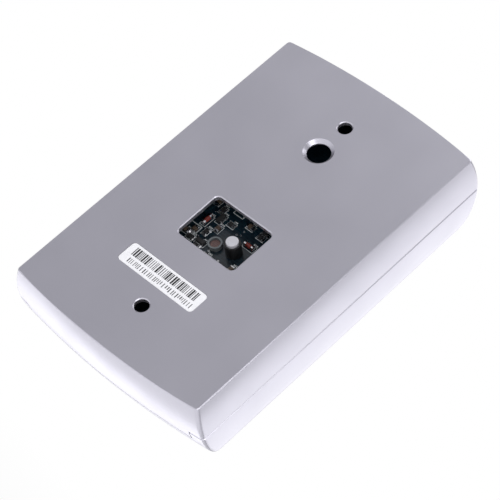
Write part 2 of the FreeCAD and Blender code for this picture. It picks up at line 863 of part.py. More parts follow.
def make_sensor_processor():
    z = recess_center_height + sensor_chip_shift
    half = sensor_chip_half
    return block(-half, half, sensor_board_back - sensor_chip_height, sensor_board_back, z - half, z + half)


def ribbon_slot(z0, z1):
    """Mouth of a socket, a little larger than the flat cable."""
    half = ribbon_half_width + screw_clearance
    return block(-half, half, ribbon_depth - ribbon_slack, ribbon_depth + ribbon_bow + ribbon_slack, z0, z1)


def make_sensor_socket():
    z = sensor_socket_z
    body = block(-socket_half_width, socket_half_width, sensor_board_back - socket_height, sensor_board_back,
                 z - socket_half_length, z + socket_half_length)
    return body.cut(ribbon_slot(z - socket_half_length - over, z + ribbon_entry))


def make_ribbon_socket():
    z = board_socket_z
    body = block(-socket_half_width, socket_half_width, board_front, ribbon_depth + socket_height / 2.0,
                 z - socket_half_length, z + socket_half_length)
    return body.cut(ribbon_slot(z - ribbon_entry, z + socket_half_length + over))


def make_sensor_ribbon():
    """Flat cable that bows gently between the sensor board and the main board."""
    upper = sensor_socket_z + ribbon_inset
    lower = board_socket_z - ribbon_inset
    middle = (upper + lower) / 2.0
    half = ribbon_thickness / 2.0
    x0 = -ribbon_half_width
    ends = [(V(x0, -ribbon_depth - shift, upper), V(x0, -ribbon_depth - ribbon_bow - shift, middle),
             V(x0, -ribbon_depth - shift, lower)) for shift in (-half, half)]
    outline = [Part.Arc(*ends[0]).toShape(), Part.makeLine(ends[0][2], ends[1][2]),
               Part.Arc(*ends[1]).toShape(), Part.makeLine(ends[1][0], ends[0][0])]
    return Part.Face(Part.Wire(Part.__sortEdges__(outline))).extrude(V(2 * ribbon_half_width, 0, 0))


# ---- Indicator window ----------------------------------------------------------------------------
def make_indicator_lens():
    gap = indicator_gap
    window = plate(0, indicator_center_height, indicator_width - 2 * gap, indicator_height - 2 * gap,
                   indicator_height / 2.0 - gap - near_round, indicator_flange_depth, depth_far)
    flange_height = indicator_height + 2 * indicator_flange
    flange = plate(0, indicator_center_height, indicator_width + 2 * indicator_flange, flange_height,
                   flange_height / 2.0 - near_round, indicator_flange_depth, depth_far)
    return unite([window.common(body_form(indicator_setback)), flange.common(cavity_form)])


def make_indicator_board():
    near = indicator_board_depth
    far = near + indicator_board_thickness
    board = plate(0, indicator_center_height, indicator_board_width, indicator_board_height,
                  indicator_board_corner, near, far)
    return remove(board, [peg(side * indicator_boss_offset, indicator_center_height, near - over, far + over,
                              small_screw_radius + screw_clearance) for side in (-1, 1)])


def make_indicator_screws():
    return group([pan_screw(side * indicator_boss_offset, indicator_center_height, indicator_board_depth,
                            indicator_screw_length) for side in (-1, 1)])


def make_status_leds():
    """Three round lamps with domed tips."""
    near = indicator_board_depth + indicator_board_thickness
    lamps = []
    for index in range(3):
        x = led_first_x + index * led_spacing
        flange = peg(x, indicator_center_height, near, near + led_rim_height, led_radius + led_rim)
        stem = peg(x, indicator_center_height, near, near + led_stem, led_radius)
        dome = Part.makeSphere(led_radius, V(x, -near - led_stem, indicator_center_height))
        lamps.append(unite([flange, stem, dome]))
    return group(lamps)


def make_ir_receiver():
    near = indicator_board_depth + indicator_board_thickness
    z = indicator_center_height
    body = block(receiver_x - receiver_half_width, receiver_x + receiver_half_width, near,
                 near + receiver_height, z - receiver_half_height, z + receiver_half_height)
    eye = Part.makeSphere(receiver_eye, V(receiver_x, -near - receiver_eye_depth, z))
    return unite([body, eye.common(slab(near + receiver_height / 2.0, depth_far))])


def make_link_pins():
    """Square pins that join the main board to the indicator board."""
    pins = []
    for index in range(link_pins):
        x = (index - (link_pins - 1) / 2.0) * link_pitch
        pins.append(block(x - link_half, x + link_half, board_front, indicator_board_depth,
                          link_z - link_half, link_z + link_half))
    return group(pins)


def make_link_spacer():
    half = link_pins * link_pitch / 2.0
    near = board_front + link_spacer_depth
    body = block(-half, half, near, near + link_spacer_height,
                 link_z - link_pitch / 2.0, link_z + link_pitch / 2.0)
    holes = []
    for index in range(link_pins):
        x = (index - (link_pins - 1) / 2.0) * link_pitch
        holes.append(block(x - link_hole_half, x + link_hole_half, board_front, indicator_board_depth,
                           link_z - link_hole_half, link_z + link_hole_half))
    return remove(body, holes)


# ---- Main board ----------------------------------------------------------------------------------
def make_main_board():
    board = plate(0, 0, board_width, board_height, board_corner, board_depth, board_front)
    return remove(board, [peg(sx * post_x, sz * post_z, board_depth - over, board_front + over,
                              small_screw_radius + screw_clearance) for sx in (-1, 1) for sz in (-1, 1)])


def make_board_screws():
    return group([pan_screw(sx * post_x, sz * post_z, board_depth, small_screw_length + board_thickness)
                  for sx in (-1, 1) for sz in (-1, 1)])


def make_cable_header():
    """Shrouded socket that the wall cable plugs into, on the wall side of the board."""
    half = header_pins * header_pitch / 2.0 + header_end
    near = board_depth - header_height
    inner = header_half_width - header_wall
    body = block(-half, half, near, board_depth, header_z - header_half_width, header_z + header_half_width)
    well = block(-half + header_wall, half - header_wall, near - over, board_depth - header_floor,
                 header_z - inner, header_z + inner)
    return body.cut(well)


def make_header_pins():
    pins = []
    for index in range(header_pins):
        x = (index - (header_pins - 1) / 2.0) * header_pitch
        pins.append(block(x - header_pin_half, x + header_pin_half, board_depth - header_pin_tip,
                          board_depth - header_floor, header_z - header_pin_half, header_z + header_pin_half))
    return group(pins)


def make_buzzer():
    far = board_front + buzzer_height
    can = peg(buzzer_x, buzzer_z, board_front, far, buzzer_radius)
    return can.cut(peg(buzzer_x, buzzer_z, far - buzzer_port_depth, far + over, buzzer_port))


def make_filter_capacitors():
    """Two upright cans, each with a rolled groove near its foot."""
    grooved = []
    foot = board_front + can_groove_foot
    for z, radius, height in cans:
        can = peg(can_x, z, board_front, board_front + height, radius)
        grooved.append(can.cut(ring(can_x, z, foot, foot + can_groove_width, radius + over,
                                    radius - can_groove_cut)))
    return group(grooved)


def make_power_inductor():
    far = board_front + coil_block_height
    core = plate(coil_block_x, coil_block_z, coil_block_width, coil_block_width, coil_block_corner,
                 board_front, far)
    return core.cut(ring(coil_block_x, coil_block_z, far - coil_block_cut, far + over, *coil_block_ring))


def make_regulator():
    x0, x1, z0, z1 = regulator_place
    return block(x0, x1, board_front, board_front + regulator_height, z0, z1)


def make_processor():
    far = board_front + processor_height
    body = plate(processor_x, processor_z, processor_width, processor_width, processor_corner,
                 board_front, far)
    offset = processor_width / 2.0 - processor_mark_inset
    return body.cut(peg(processor_x - offset, processor_z + offset, far - processor_mark_cut, far + over,
                        processor_mark_radius))


def make_flash_memory():
    x0, x1, z0, z1 = memory_place
    return block(x0, x1, board_front, board_front + memory_height, z0, z1)


def make_crystal():
    x, z = crystal_place
    width, length, corner, height = crystal_size
    return plate(x, z, width, length, corner, board_front, board_front + height)


# ---- Small parts on the wall side of the board ----------------------------------------------------
def chips(places, length, width, height):
    """Surface-mount blocks; each place is x, z and whether the part stands along Z."""
    blocks = []
    for x, z, upright in places:
        half_x, half_z = (width / 2.0, length / 2.0) if upright else (length / 2.0, width / 2.0)
        blocks.append(block(x - half_x, x + half_x, board_depth - height, board_depth,
                            z - half_z, z + half_z))
    return group(blocks)


def make_smd_capacitors():
    return chips([(14.2, -10.6, False), (12.4, -8.9, True), (7.4, -4.6, True), (3.4, -13.6, False),
                  (-5.2, -12.4, True), (0.8, 1.6, False), (14.0, 2.4, True)],
                 small_part_length, small_part_width, capacitor_height)


def make_smd_resistors():
    return chips([(11.6, -11.4, False), (9.4, -7.4, True), (8.2, -12.6, False), (5.6, -1.2, False),
                  (-3.9, 2.8, False), (-3.9, 0.9, False), (11.0, 1.0, True), (-7.6, -3.6, True)],
                 small_part_length, small_part_width, resistor_height)


def make_smd_diodes():
    """Small glass diodes lying on the board."""
    diodes = []
    for x, z, upright in ((12.0, -4.4, True), (-3.6, -3.5, False)):
        direction = V(0, 0, 1) if upright else V(1, 0, 0)
        start = V(x, diode_radius - board_depth, z) - direction * (diode_length / 2.0)
        diodes.append(Part.makeCylinder(diode_radius, diode_length, start, direction))
    return group(diodes)


def make_smd_transistors():
    return chips([(8.0, -10.95, False), (9.2, -1.6, True)], *transistor_size)


# ---- Light cell and tamper plunger ---------------------------------------------------------------
def make_light_sleeve():
    return ring(light_cell_x, light_cell_z, board_depth - light_sleeve_height, board_depth,
                light_sleeve_radius, light_sleeve_bore)


def make_light_cell():
    near = board_depth - light_cell_height - light_cell_thickness
    far = near + light_cell_thickness
    disc = peg(light_cell_x, light_cell_z, near, far, light_sleeve_bore - light_cell_gap)
    legs = [peg(light_cell_x + side * light_leg_offset, light_cell_z, near, board_depth, light_leg_radius)
            for side in (-1, 1)]
    return unite([disc] + legs)


rim_depth = plunger_front_depth + plunger_proud
flange_near = rim_depth + tamper_rim + running_gap
pin_end = board_depth - contact_thickness - plunger_travel - plunger_stop_gap


def make_tamper_sleeve():
    """Guide tube on the board; its rim keeps the plunger's flange inside."""
    tube = peg(tamper_x, tamper_z, rim_depth, board_depth, tamper_sleeve_radius)
    bore = peg(tamper_x, tamper_z, rim_depth + tamper_rim, board_depth + over,
               plunger_flange_radius + running_gap)
    throat = peg(tamper_x, tamper_z, rim_depth - over, board_depth, plunger_radius + running_gap)
    return remove(tube, [bore, throat])


def make_tamper_plunger():
    cap = peg(tamper_x, tamper_z, plunger_front_depth, flange_near, plunger_radius)
    rim = [edge for edge in cap.Edges if edge.BoundBox.YMin > -plunger_front_depth - near_round]
    cap = cap.makeFillet(plunger_edge_round, rim)
    flange = peg(tamper_x, tamper_z, flange_near, flange_near + plunger_flange, plunger_flange_radius)
    pin = peg(tamper_x, tamper_z, flange_near, pin_end, plunger_pin_radius)
    return unite([cap, flange, pin])


def make_tamper_spring():
    """Helical return spring between the flange and the board."""
    start = flange_near + plunger_flange + spring_wire / 2.0 + spring_gap
    length = board_depth - start - spring_wire / 2.0 - spring_gap
    coil_radius_mid = (plunger_flange_radius + plunger_pin_radius) / 2.0
    helix = Part.makeHelix(length / spring_turns, length, coil_radius_mid)
    wire_start = V(coil_radius_mid, 0, 0)
    profile = Part.Wire(Part.makeCircle(spring_wire / 2.0, wire_start, V(0, 1, 0)))
    spring = Part.Wire(helix).makePipeShell([profile], True, True)
    spring.rotate(V(0, 0, 0), V(1, 0, 0), 90)
    spring.translate(V(tamper_x, -start, tamper_z))
    return spring


def make_tamper_contact():
    """Domed snap contact under the plunger's pin, as a thin shallow disc."""
    return peg(tamper_x, tamper_z, board_depth - contact_thickness, board_depth, contact_disc_radius)


# ---- Relay ---------------------------------------------------------------------------------------
relay_base_top = board_front + relay_base_thickness
foot_depth = relay_base_top + yoke_lift
bobbin_near = foot_depth + yoke_thickness
relay_inner_top = board_front + relay_height - relay_case_wall
armature_near = relay_inner_top - armature_room
core_end = armature_near - armature_gap
bobbin_far = core_end - core_proud
coil_x = relay_x + coil_shift_x
coil_z = relay_z + coil_shift_z
yoke_z = coil_z - coil_radius - coil_gap
leaf_z = yoke_z + armature_length


def relay_block(inset, depth0, depth1):
    half_x = relay_width / 2.0 - inset
    half_z = relay_length / 2.0 - inset
    return block(relay_x - half_x, relay_x + half_x, depth0, depth1, relay_z - half_z, relay_z + half_z)


def make_relay_case():
    shell = relay_block(0.0, board_front, board_front + relay_height)
    return shell.cut(relay_block(relay_case_wall, board_front - over, relay_inner_top))


def make_relay_base():
    return relay_block(relay_case_wall + relay_gap, board_front, relay_base_top)


def make_relay_yoke():
    foot = block(coil_x - yoke_half_width, coil_x + yoke_half_width, foot_depth, bobbin_near,
                 yoke_z - yoke_thickness, coil_z + yoke_foot_reach)
    back = block(coil_x - yoke_half_width, coil_x + yoke_half_width, foot_depth,
                 armature_near - armature_lift, yoke_z - yoke_thickness, yoke_z)
    return unite([foot, back])


def make_relay_core():
    return peg(coil_x, coil_z, bobbin_near, core_end, core_radius)


def make_relay_bobbin():
    bore = core_radius + bobbin_bore_gap
    rim = coil_radius + bobbin_rim
    tube = ring(coil_x, coil_z, bobbin_near, bobbin_far, core_radius + tube_wall, bore)
    lower = ring(coil_x, coil_z, bobbin_near, bobbin_near + bobbin_flange, rim, bore)
    upper = ring(coil_x, coil_z, bobbin_far - bobbin_flange, bobbin_far, rim, bore)
    return unite([tube, lower, upper])


def make_relay_coil():
    return ring(coil_x, coil_z, bobbin_near + bobbin_flange, bobbin_far - bobbin_flange, coil_radius,
                core_radius + tube_wall)


def make_relay_armature():
    half = yoke_half_width - armature_inset
    paddle_end = leaf_z - leaf_free
    leaf_near = armature_near + contact_height
    paddle = block(coil_x - half, coil_x + half, armature_near, armature_near + armature_thickness,
                   yoke_z - armature_overhang, paddle_end)
    leaf = block(coil_x - leaf_half_width, coil_x + leaf_half_width, leaf_near, leaf_near + leaf_thickness,
                 paddle_end - leaf_root, leaf_z + leaf_end)
    return unite([paddle, leaf])


def make_relay_moving_contact():
    return peg(coil_x, leaf_z, armature_near, armature_near + contact_height, contact_radius)


def make_relay_contacts():
    """Open and closed contact posts, one under and one over the moving contact."""
    swing = (leaf_z - yoke_z + contact_radius) * math.sin(math.radians(armature_swing))
    under = armature_near - swing - contact_gap
    over_depth = armature_near + armature_thickness + contact_over_gap
    wall_z = relay_z + relay_length / 2.0 - relay_case_wall - relay_gap
    post_z0 = wall_z - contact_post
    arm_z = leaf_z - contact_arm_end
    low_x = coil_x + contact_low_offset
    high_x = coil_x + contact_high_offset
    low_post = unite([
        block(low_x, low_x + contact_post_width, relay_base_top, under, post_z0, wall_z),
        block(low_x, low_x + contact_arm_width, under - contact_arm, under, arm_z, wall_z)])
    high_post = unite([
        block(high_x - contact_post_width, high_x, relay_base_top, over_depth + contact_arm, post_z0, wall_z),
        block(high_x - high_arm_width, high_x, over_depth, over_depth + contact_arm, arm_z, wall_z)])
    return group([low_post, high_post])


def make_relay_pins():
    """Solder pins, which stop inside the thickness of the board."""
    return group([peg(relay_x + dx, relay_z + dz, board_depth - relay_pin_depth, board_depth,
                      relay_pin_radius) for dx, dz in relay_pin_places])


# ---- Write every piece ---------------------------------------------------------------------------
PIECES = {
    "back_shell": make_back_shell,
    "front_cover": make_front_cover,
    "cover_seal": make_cover_seal,
    "cover_screw": make_cover_screw,
    "serial_label": make_serial_label,
    "sensor_bezel": make_sensor_bezel,
    "sensor_prism": make_sensor_prism,
    "sensor_housing": make_sensor_housing,
    "sensor_screws": make_sensor_screws,
    "sensor_board": make_sensor_board,
    "image_sensor": make_image_sensor,
    "lens_barrel": make_lens_barrel,
    "sensor_lens": make_sensor_lens,
    "sensor_leds": make_sensor_leds,
    "sensor_processor": make_sensor_processor,
    "sensor_socket": make_sensor_socket,
    "sensor_ribbon": make_sensor_ribbon,
    "ribbon_socket": make_ribbon_socket,
    "indicator_lens": make_indicator_lens,
    "indicator_board": make_indicator_board,
    "indicator_screws": make_indicator_screws,
    "status_leds": make_status_leds,
    "ir_receiver": make_ir_receiver,
    "link_pins": make_link_pins,
    "link_spacer": make_link_spacer,
    "main_board": make_main_board,
    "board_screws": make_board_screws,
    "cable_header": make_cable_header,
    "header_pins": make_header_pins,
    "buzzer": make_buzzer,
    "filter_capacitors": make_filter_capacitors,
    "power_inductor": make_power_inductor,
    "regulator": make_regulator,
    "processor": make_processor,
    "flash_memory": make_flash_memory,
    "crystal": make_crystal,
    "smd_capacitors": make_smd_capacitors,
    "smd_resistors": make_smd_resistors,
    "smd_diodes": make_smd_diodes,
    "smd_transistors": make_smd_transistors,
    "light_sleeve": make_light_sleeve,
    "light_cell": make_light_cell,
    "tamper_sleeve": make_tamper_sleeve,
    "tamper_plunger": make_tamper_plunger,
    "tamper_spring": make_tamper_spring,
    "tamper_contact": make_tamper_contact,
    "relay_case": make_relay_case,
    "relay_base": make_relay_base,
    "relay_yoke": make_relay_yoke,
    "relay_core": make_relay_core,
    "relay_bobbin": make_relay_bobbin,
    "relay_coil": make_relay_coil,
    "relay_armature": make_relay_armature,
    "relay_moving_contact": make_relay_moving_contact,
    "relay_contacts": make_relay_contacts,
    "relay_pins": make_relay_pins,
}

if __name__ == "__main__":
    os.makedirs("parts", exist_ok=True)
    for piece_name, make_piece in PIECES.items():
        save(piece_name, make_piece())
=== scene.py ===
import json
import math
import random

import bmesh
import bpy
from mathutils import Matrix, Vector


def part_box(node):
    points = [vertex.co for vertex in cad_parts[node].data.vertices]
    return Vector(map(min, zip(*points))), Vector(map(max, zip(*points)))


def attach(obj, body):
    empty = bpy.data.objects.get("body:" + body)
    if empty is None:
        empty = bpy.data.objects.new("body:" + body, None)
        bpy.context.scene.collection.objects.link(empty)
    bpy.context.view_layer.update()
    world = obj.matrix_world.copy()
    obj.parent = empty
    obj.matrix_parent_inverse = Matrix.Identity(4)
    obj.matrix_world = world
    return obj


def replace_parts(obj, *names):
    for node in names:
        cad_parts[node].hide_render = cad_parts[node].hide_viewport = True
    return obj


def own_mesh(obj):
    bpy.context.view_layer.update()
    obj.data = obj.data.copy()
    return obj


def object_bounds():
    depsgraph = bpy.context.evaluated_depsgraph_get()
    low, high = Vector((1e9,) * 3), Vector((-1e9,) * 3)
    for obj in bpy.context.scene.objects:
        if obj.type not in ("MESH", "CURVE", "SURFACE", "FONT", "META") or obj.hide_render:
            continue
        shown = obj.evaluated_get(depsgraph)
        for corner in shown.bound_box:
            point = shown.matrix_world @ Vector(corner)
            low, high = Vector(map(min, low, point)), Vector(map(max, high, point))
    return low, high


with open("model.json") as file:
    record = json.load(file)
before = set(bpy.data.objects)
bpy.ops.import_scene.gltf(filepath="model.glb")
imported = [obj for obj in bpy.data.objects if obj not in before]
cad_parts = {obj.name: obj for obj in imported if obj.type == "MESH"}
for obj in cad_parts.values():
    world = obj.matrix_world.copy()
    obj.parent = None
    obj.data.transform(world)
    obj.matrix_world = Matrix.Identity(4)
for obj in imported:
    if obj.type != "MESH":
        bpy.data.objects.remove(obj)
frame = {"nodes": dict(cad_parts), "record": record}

# Looks of the fingerprint scanner terminal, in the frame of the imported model: the flat back lies
# on y = 0 and faces +Y, the front faces -Y and Z is up.  The stage and the materials are in metres.
# Pieces are built in millimetres as (x, depth, z), where depth runs from the back to the front.

cad_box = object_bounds()
scene = bpy.context.scene
nodes = frame["nodes"]
MM = 0.001
SEED = 7
rng = random.Random(SEED)

# ---- Camera, floor and light --------------------------------------------------------------------
CAMERA_AT = Vector((-0.28825, 0.46600, -0.22801))
CAMERA_AIM = Vector((-0.00943, 0.0, -0.00802))
CAMERA_ROLL = 48.617               # degrees, about the line of sight
CAMERA_LENS = 155.95               # millimetres
CAMERA_SENSOR = 36.0               # millimetres
CAMERA_REACH = (0.01, 50.0)
FLOOR_DROP = 0.45                  # below the object, clear of the camera's height
FLOOR_SIZE = 12.0
FLOOR_TONES = ((0.87, 0.87, 0.87), (0.885, 0.885, 0.885))
FLOOR_DRIFT = (3.0, 2.0)           # scale and detail of the noise between the two tones
FLOOR_ROUGHNESS = 0.8
FLOOR_GLOW = 0.20                  # light of its own, which brings it near the horizon's tone
ROOM_LEVEL = (0.55, 0.55, 0.57)    # what the object reflects where no softbox is
HORIZON_LEVEL = 0.76               # where the floor meets the background
HORIZON_RISE = (-0.02, 0.25)       # slope of the line of sight at that level and at full white
# softboxes: place, width and height in metres, and brightness
SOFTBOXES = {
    "softbox_high": ((-0.40, -1.05, 0.50), (1.3, 1.0), 1.09),
    "softbox_low": ((0.34, -0.56, -0.24), (0.60, 0.42), 1.12),
    "softbox_left": ((-1.0, 0.45, -0.05), (0.8, 0.8), 2.3),
    "softbox_back": ((0.40, 0.75, 1.15), (0.8, 0.8), 1.2),
    "softbox_top": ((0.1, 0.1, 1.3), (1.4, 1.4), 1.6),
}


def make_camera():
    data = bpy.data.cameras.new("camera")
    data.sensor_width = CAMERA_SENSOR
    data.lens = CAMERA_LENS
    data.clip_start, data.clip_end = CAMERA_REACH
    camera = bpy.data.objects.new("camera", data)
    scene.collection.objects.link(camera)
    ahead = (CAMERA_AIM - CAMERA_AT).normalized()
    level = ahead.cross(Vector((0, 0, 1))).normalized()
    upright = level.cross(ahead)
    turn = math.radians(CAMERA_ROLL)
    right = level * math.cos(turn) + upright * math.sin(turn)
    up = right.cross(ahead)
    axes = Matrix((right, up, -ahead)).transposed().to_4x4()
    camera.matrix_world = Matrix.Translation(CAMERA_AT) @ axes
    scene.camera = camera


def make_floor():
    low = cad_box[0].z - FLOOR_DROP
    mesh = bpy.data.meshes.new("floor")
    half = FLOOR_SIZE / 2.0
    corners = [(-half, -half, low), (half, -half, low), (half, half, low), (-half, half, low)]
    mesh.from_pydata(corners, [], [(0, 1, 2, 3)])
    floor = bpy.data.objects.new("floor", mesh)
    scene.collection.objects.link(floor)
    material, tree, shader = new_material("floor_paint")
    colour_between(tree, add_noise(tree, *FLOOR_DRIFT), shader, *FLOOR_TONES)
    shader.inputs["Roughness"].default_value = FLOOR_ROUGHNESS
    shader.inputs["Emission Color"].default_value = (1, 1, 1, 1)
    shader.inputs["Emission Strength"].default_value = FLOOR_GLOW
    mesh.materials.append(material)


def make_world():
    """White to the camera, dimmer towards the horizon, and a softer grey as light on the object."""
    world = bpy.data.worlds.new("studio")
    scene.world = world
    world.use_nodes = True
    tree = world.node_tree
    tree.nodes.clear()
    lit = tree.nodes.new("ShaderNodeBackground")
    lit.inputs["Color"].default_value = (*ROOM_LEVEL, 1)
    seen = tree.nodes.new("ShaderNodeBackground")
    around = tree.nodes.new("ShaderNodeTexCoord")
    parts = tree.nodes.new("ShaderNodeSeparateXYZ")
    rise = tree.nodes.new("ShaderNodeMapRange")
    rise.inputs["From Min"].default_value = HORIZON_RISE[0]
    rise.inputs["From Max"].default_value = HORIZON_RISE[1]
    rise.inputs["To Min"].default_value = HORIZON_LEVEL
    rise.inputs["To Max"].default_value = 1.0
    tree.links.new(around.outputs["Generated"], parts.inputs["Vector"])
    tree.links.new(parts.outputs["Z"], rise.inputs["Value"])
    tree.links.new(rise.outputs["Result"], seen.inputs["Color"])
    path = tree.nodes.new("ShaderNodeLightPath")
    mix = tree.nodes.new("ShaderNodeMixShader")
    out = tree.nodes.new("ShaderNodeOutputWorld")
    tree.links.new(path.outputs["Is Camera Ray"], mix.inputs["Fac"])
    tree.links.new(lit.outputs["Background"], mix.inputs[1])
    tree.links.new(seen.outputs["Background"], mix.inputs[2])
    tree.links.new(mix.outputs["Shader"], out.inputs["Surface"])


def make_softboxes():
    """Soft rectangular lamps that face the object and stay out of the camera's sight."""
    for name, (place, size, brightness) in SOFTBOXES.items():
        data = bpy.data.lights.new(name, "AREA")
        data.shape = "RECTANGLE"
        data.size, data.size_y = size
        data.energy = brightness * math.pi * size[0] * size[1]
        lamp = bpy.data.objects.new(name, data)
        scene.collection.objects.link(lamp)
        lamp.location = place
        lamp.rotation_euler = (-Vector(place)).to_track_quat("-Z", "Y").to_euler()
        lamp.visible_camera = False


def set_tones():
    scene.view_settings.view_transform = "Standard"
    scene.view_settings.look = "None"


# ---- Material helpers ---------------------------------------------------------------------------
EVEN = (1.0, 1.0, 1.0)             # a grain that runs no way in particular
NOISE_SPAN = (0.3, 0.7)            # noise values that give the two ends of a roughness
CREASE_SHADE_REACH = 0.0010              # how far from a crease the painted shade starts
CREASE_SHADE_SPAN = (0.15, 0.72)         # open share of the surroundings at the darkest painted shade and at full tone
CREASE_SHADE = 0.03                # share of the colour left under the painted shade in the deepest crease
# samples of the ambient occlusion behind the painted crease shade
CREASE_SHADE_SAMPLES = 8
MIX_COLOUR_A = 6                   # sockets of the mix node, where names repeat for each data type
MIX_COLOUR_B = 7
MIX_COLOUR_RESULT = 2


def new_material(name):
    material = bpy.data.materials.new(name)
    material.use_nodes = True
    tree = material.node_tree
    tree.nodes.clear()
    out = tree.nodes.new("ShaderNodeOutputMaterial")
    shader = tree.nodes.new("ShaderNodeBsdfPrincipled")
    tree.links.new(shader.outputs["BSDF"], out.inputs["Surface"])
    return material, tree, shader


def place_of(tree, stretch=EVEN):
    """Object coordinates, in metres, stretched where a grain runs one way."""
    place = tree.nodes.new("ShaderNodeTexCoord")
    if stretch == EVEN:
        return place.outputs["Object"]
    mapping = tree.nodes.new("ShaderNodeMapping")
    mapping.inputs["Scale"].default_value = stretch
    tree.links.new(place.outputs["Object"], mapping.inputs["Vector"])
    return mapping.outputs["Vector"]


def add_noise(tree, scale, detail, stretch=EVEN):
    noise = tree.nodes.new("ShaderNodeTexNoise")
    noise.inputs["Scale"].default_value = scale
    noise.inputs["Detail"].default_value = detail
    tree.links.new(place_of(tree, stretch), noise.inputs["Vector"])
    return noise.outputs["Fac"]


def colour_between(tree, value, shader, first, second, low=0.35, high=0.65):
    ramp = tree.nodes.new("ShaderNodeValToRGB")
    ramp.color_ramp.elements[0].position = low
    ramp.color_ramp.elements[0].color = (*first, 1)
    ramp.color_ramp.elements[1].position = high
    ramp.color_ramp.elements[1].color = (*second, 1)
    tree.links.new(value, ramp.inputs["Fac"])
    tree.links.new(ramp.outputs["Color"], shader.inputs["Base Color"])
    return ramp.outputs["Color"]


def roughness_between(tree, value, shader, low, high):
    span = tree.nodes.new("ShaderNodeMapRange")
    span.inputs["From Min"].default_value = NOISE_SPAN[0]
    span.inputs["From Max"].default_value = NOISE_SPAN[1]
    span.inputs["To Min"].default_value = low
    span.inputs["To Max"].default_value = high
    tree.links.new(value, span.inputs["Value"])
    tree.links.new(span.outputs["Result"], shader.inputs["Roughness"])


def bump_from(tree, value, shader, strength, distance, previous=None):
    bump = tree.nodes.new("ShaderNodeBump")
    bump.inputs["Strength"].default_value = strength
    bump.inputs["Distance"].default_value = distance
    tree.links.new(value, bump.inputs["Height"])
    if previous is not None:
        tree.links.new(previous, bump.inputs["Normal"])
    tree.links.new(bump.outputs["Normal"], shader.inputs["Normal"])
    return bump.outputs["Normal"]


def paint_crease_shade(tree, colour, shader):
    """Painted shade: joint lines and the roots of openings read darker than the faces beside them,
    by ambient occlusion multiplied into the colour.
    """
    hollow = tree.nodes.new("ShaderNodeAmbientOcclusion")
    hollow.samples = CREASE_SHADE_SAMPLES
    hollow.inputs["Distance"].default_value = CREASE_SHADE_REACH
    span = tree.nodes.new("ShaderNodeMapRange")
    span.inputs["From Min"].default_value = CREASE_SHADE_SPAN[0]
    span.inputs["From Max"].default_value = CREASE_SHADE_SPAN[1]
    span.inputs["To Min"].default_value = CREASE_SHADE
    span.inputs["To Max"].default_value = 1.0
    mix = tree.nodes.new("ShaderNodeMix")
    mix.data_type = "RGBA"
    mix.blend_type = "MULTIPLY"
    mix.inputs["Factor"].default_value = 1.0
    tree.links.new(hollow.outputs["AO"], span.inputs["Value"])
    tree.links.new(colour, mix.inputs[MIX_COLOUR_A])
    tree.links.new(span.outputs["Result"], mix.inputs[MIX_COLOUR_B])
    tree.links.new(mix.outputs[MIX_COLOUR_RESULT], shader.inputs["Base Color"])


# ---- Materials ----------------------------------------------------------------------------------
# Noises are (scale, detail) and bumps are (strength, height in metres).
PAINT_TONES = ((0.508, 0.500, 0.560), (0.527, 0.518, 0.579))
PAINT_METALLIC = 0.9
PAINT_ROUGHNESS = (0.30, 0.37)
PAINT_DRIFT = (25.0, 3.0)
PAINT_GLOSS = (60.0, 4.0)
PEEL_NOISE = (900.0, 2.0)
PEEL_BUMP = (0.10, 0.00004)
FLAKE_NOISE = (6000.0, 1.0)
FLAKE_BUMP = (0.08, 0.00002)
MASK_TONES = ((0.0045, 0.013, 0.024, 1), (0.0035, 0.010, 0.019, 1))
MASK_LINES = (0.008, 0.026, 0.036, 1)
MASK_CELLS = 260.0                 # scale of the grid of lines on the board
MASK_LINE_SIZE = 0.035
MASK_ROUGHNESS = 0.28
MASK_COAT = 0.4
MASK_BUMP = (0.3, 0.00004)
GLASS_IOR = 1.52
GLASS_NOISE = (90.0, 3.0)
GLASS_SMEAR = 0.03                 # of added roughness at most
GLASS_DARKER = 0.93                # of the darker tone, as a share of the colour
FILM_TONES = ((0.72, 0.73, 0.74), (0.42, 0.42, 0.44))
FILM_STRIPES = 320.0
FILM_EDGES = (0.45, 0.55)          # wave values between which one tone turns into the other
FILM_ROUGHNESS = 0.3
FILM_BUMP = (0.3, 0.00003)
PLASTIC_DRIFT = (120.0, 3.0)
PLASTIC_GLOSS = (400.0, 3.0)
PLASTIC_SPREAD = 0.06              # of the roughness, either way
PLASTIC_GRAIN = 2500.0             # scale of the usual grain of a plastic
PLASTIC_GRAIN_DETAIL = 2.0
PLASTIC_STRENGTH = 0.3
PLASTIC_DEPTH = 0.00003
METAL_DRIFT = (150.0, 3.0)
METAL_SPREAD = (0.07, 0.08)        # of the roughness, down and up
METAL_GRAIN = 800.0                # scale of the usual grain of a metal
METAL_GRAIN_DETAIL = 4.0
METAL_BUMP = (0.15, 0.00002)

